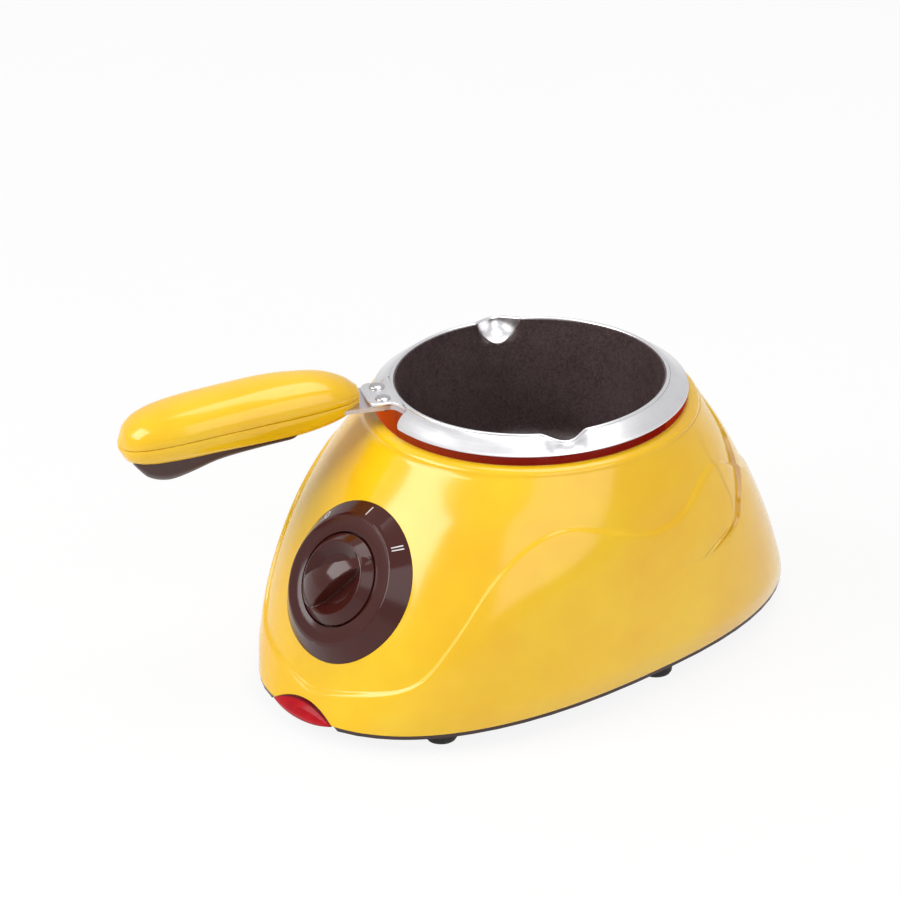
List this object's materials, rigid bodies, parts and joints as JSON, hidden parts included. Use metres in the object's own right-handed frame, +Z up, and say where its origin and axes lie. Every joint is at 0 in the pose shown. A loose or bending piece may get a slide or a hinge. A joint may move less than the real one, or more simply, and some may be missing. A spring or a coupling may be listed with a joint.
{
  "type": "electric chocolate melting pot",
  "caption": "Electric melting pot: round coated pot with a side handle, lifting off an oval moulded base with a heated well, a pointed rotary control and a red lamp.",
  "frame": {"origin": "on the pot's vertical axis, at the table under the feet", "axes": "+Z up out of the pot, +Y towards the rear where the mains lead enters, so the dial faces -Y; the handle points 29 degrees left of -Y"},
  "size_m": [0.1392, 0.2169, 0.1033],
  "materials": {
    "yellow_plastic": "glossy moulded",
    "brown_plastic": "glossy moulded",
    "soft_brown": "satin moulded",
    "rubber": "matt",
    "red_lens": "clear tinted",
    "neon_glass": "clear",
    "aluminium": "bright spun",
    "coating": "satin non-stick",
    "steel": "plain",
    "brass": "plain",
    "moulding": "heat-resistant moulding",
    "insulation": "pressed sheet",
    "dark_moulding": "heat-resistant moulding"
  },
  "bodies": {
    "base": {"housing": "yellow_plastic", "base_plate": "brown_plastic", "rubber_feet": "rubber", "base_screws": "steel", "lamp_lens": "red_lens", "lamp_holder": "moulding", "neon_lamp": "neon_glass", "dial_ring": "brown_plastic", "dial_screws": "steel", "rotary_switch": "moulding", "switch_terminals": "brass", "heater_plate": "aluminium", "heater_screws": "steel", "heating_element": "insulation", "insulation_disc": "insulation", "clamp_plate": "steel", "clamp_nuts": "steel", "thermostat": "dark_moulding", "thermal_fuse": "steel", "fuse_clip": "steel", "terminal_block": "moulding", "cord_gland": "rubber", "cord_clamp": "moulding", "clamp_screws": "steel"},
    "knob": {"control_knob": "brown_plastic", "switch_shaft": "steel"},
    "pot": {"pot_shell": "aluminium", "pot_coating": "coating", "handle_bracket": "steel", "bracket_rivets": "aluminium", "handle_upper": "yellow_plastic", "handle_lower": "yellow_plastic", "handle_grip": "soft_brown", "handle_screws": "steel"}
  },
  "joints": [
    {"name": "knob_turn", "type": "hinge", "parent": "base", "child": "knob", "pos_m": [0, -0.08373, 0.047], "axis": [0, -0.8496, 0.5274], "range_deg": [0, 90]},
    {"name": "pot_lift", "type": "slide", "parent": "base", "child": "pot", "axis": [0, 0, 1], "range_m": [0, 0.09]}
  ]
}
